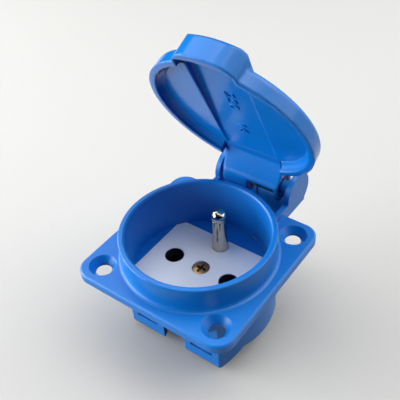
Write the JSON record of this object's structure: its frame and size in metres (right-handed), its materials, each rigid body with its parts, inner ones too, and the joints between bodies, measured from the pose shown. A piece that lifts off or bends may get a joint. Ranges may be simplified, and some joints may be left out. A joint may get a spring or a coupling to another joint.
{
  "type": "industrial panel socket outlet with a hinged lid",
  "caption": "Square-flanged panel socket with a round recess, a fixed earth pin, two pin holes, a snap-in rear carrier and a hinged lid with a thumb tab.",
  "frame": {"origin": "on the socket's axis, in the plane of the flange's back face, at the centre of the four fixing holes", "axes": "+Z out of the panel towards the plug, +Y towards the lid's hinge, +X along the hinge axis"},
  "size_m": [0.05, 0.0636, 0.0871],
  "materials": {
    "blue_plastic": "satin moulded polyamide",
    "insert_plastic": "satin moulded plastic",
    "yellow_brass": "plain and yellow-passivated brass",
    "nickel": "bright nickel plate",
    "zinc_steel": "zinc-plated steel",
    "spring_steel": "bright spring steel"
  },
  "bodies": {
    "socket": {"housing": "blue_plastic", "face_plate": "insert_plastic", "face_screw": "yellow_brass", "face_nut": "yellow_brass", "earth_pin": "nickel", "earth_washer": "zinc_steel", "earth_nut": "zinc_steel", "earth_strap": "yellow_brass", "contact_carrier": "blue_plastic", "line_contact": "yellow_brass", "neutral_contact": "yellow_brass", "line_contact_clip": "spring_steel", "neutral_contact_clip": "spring_steel", "line_terminal": "yellow_brass", "neutral_terminal": "yellow_brass", "earth_terminal": "yellow_brass", "terminal_screws": "zinc_steel", "hinge_pin": "blue_plastic", "lid_spring": "spring_steel"},
    "lid": {"lid": "blue_plastic"}
  },
  "joints": [
    {"name": "lid_hinge", "type": "hinge", "parent": "socket", "child": "lid", "pos_m": [0, 0.0301, 0.0079], "axis": [1, 0, 0], "range_deg": [-46.2, 63.8]}
  ]
}
